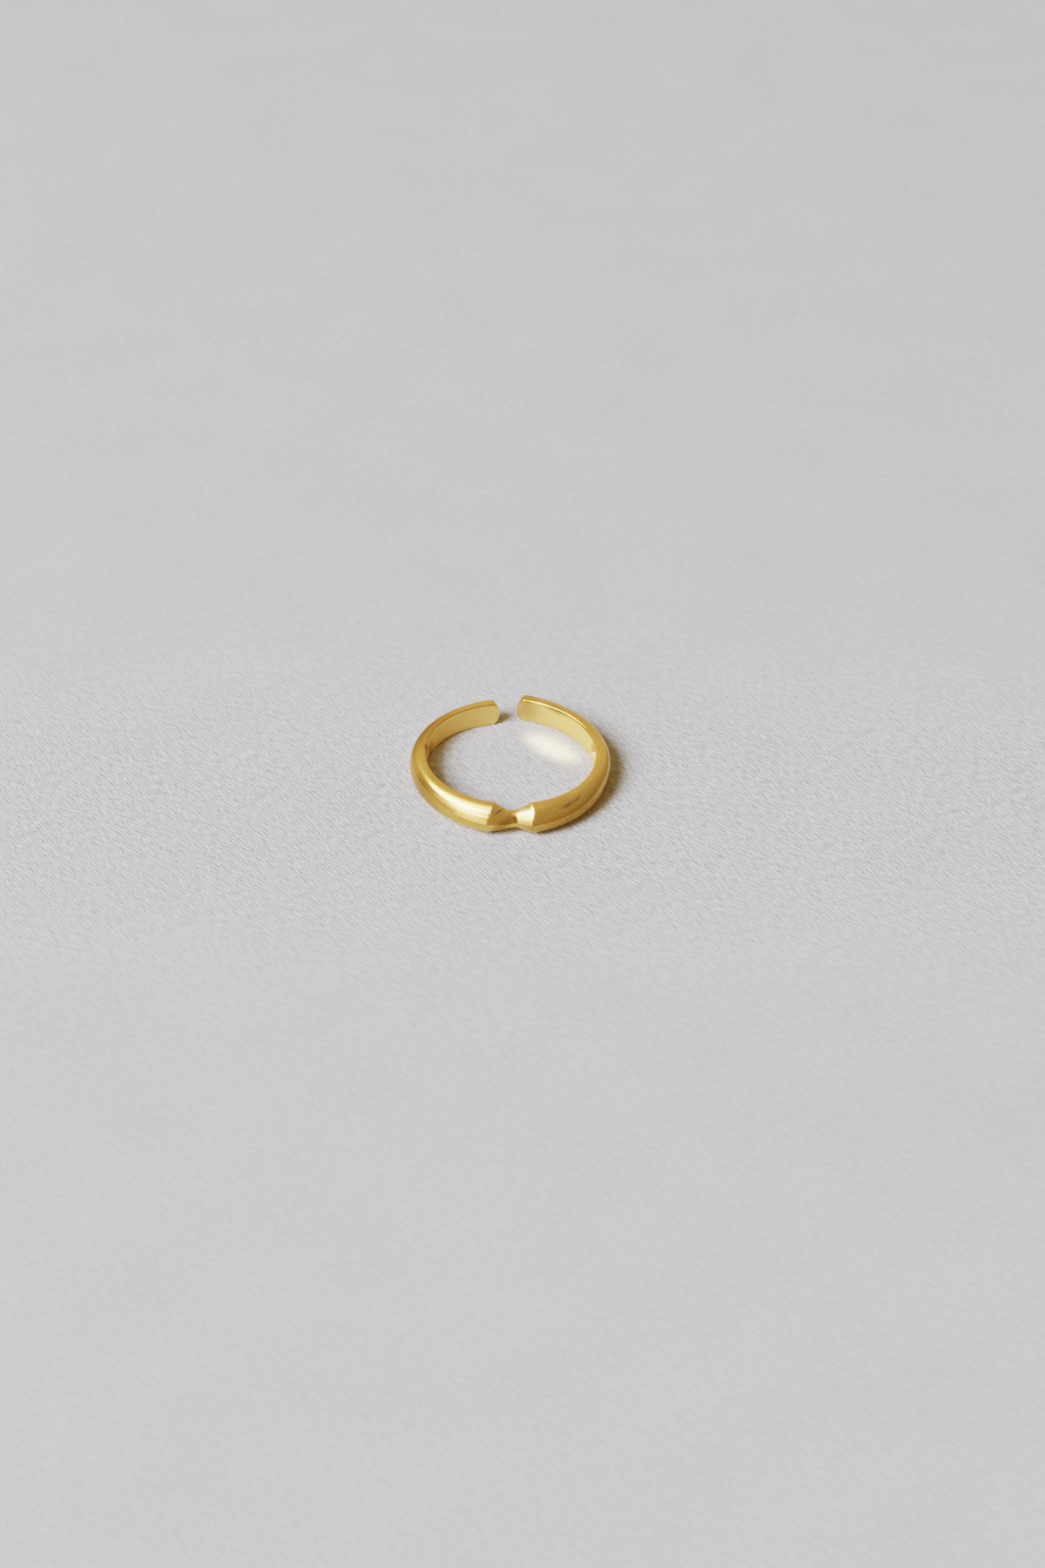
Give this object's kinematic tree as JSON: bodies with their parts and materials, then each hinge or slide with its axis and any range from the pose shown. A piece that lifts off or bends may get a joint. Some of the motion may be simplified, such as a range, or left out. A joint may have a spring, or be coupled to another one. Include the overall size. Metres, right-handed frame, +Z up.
{
  "type": "open finger ring",
  "caption": "Open finger ring: a domed gold band, thickest in front, where it is pinched to a short waist, with a narrow gap between rounded ends at the back.",
  "frame": {"origin": "on the axis of the finger opening, halfway up the band; the ring lies on the plane 1.25 mm below it", "axes": "+Z up, along the finger's axis; -Y towards the front with the pinched waist; +Y towards the gap; +X to the right, seen from the front"},
  "size_m": [0.0197, 0.0213, 0.0024],
  "materials": {
    "gold": "satin"
  },
  "bodies": {
    "root": {"band": "gold"}
  },
  "joints": []
}
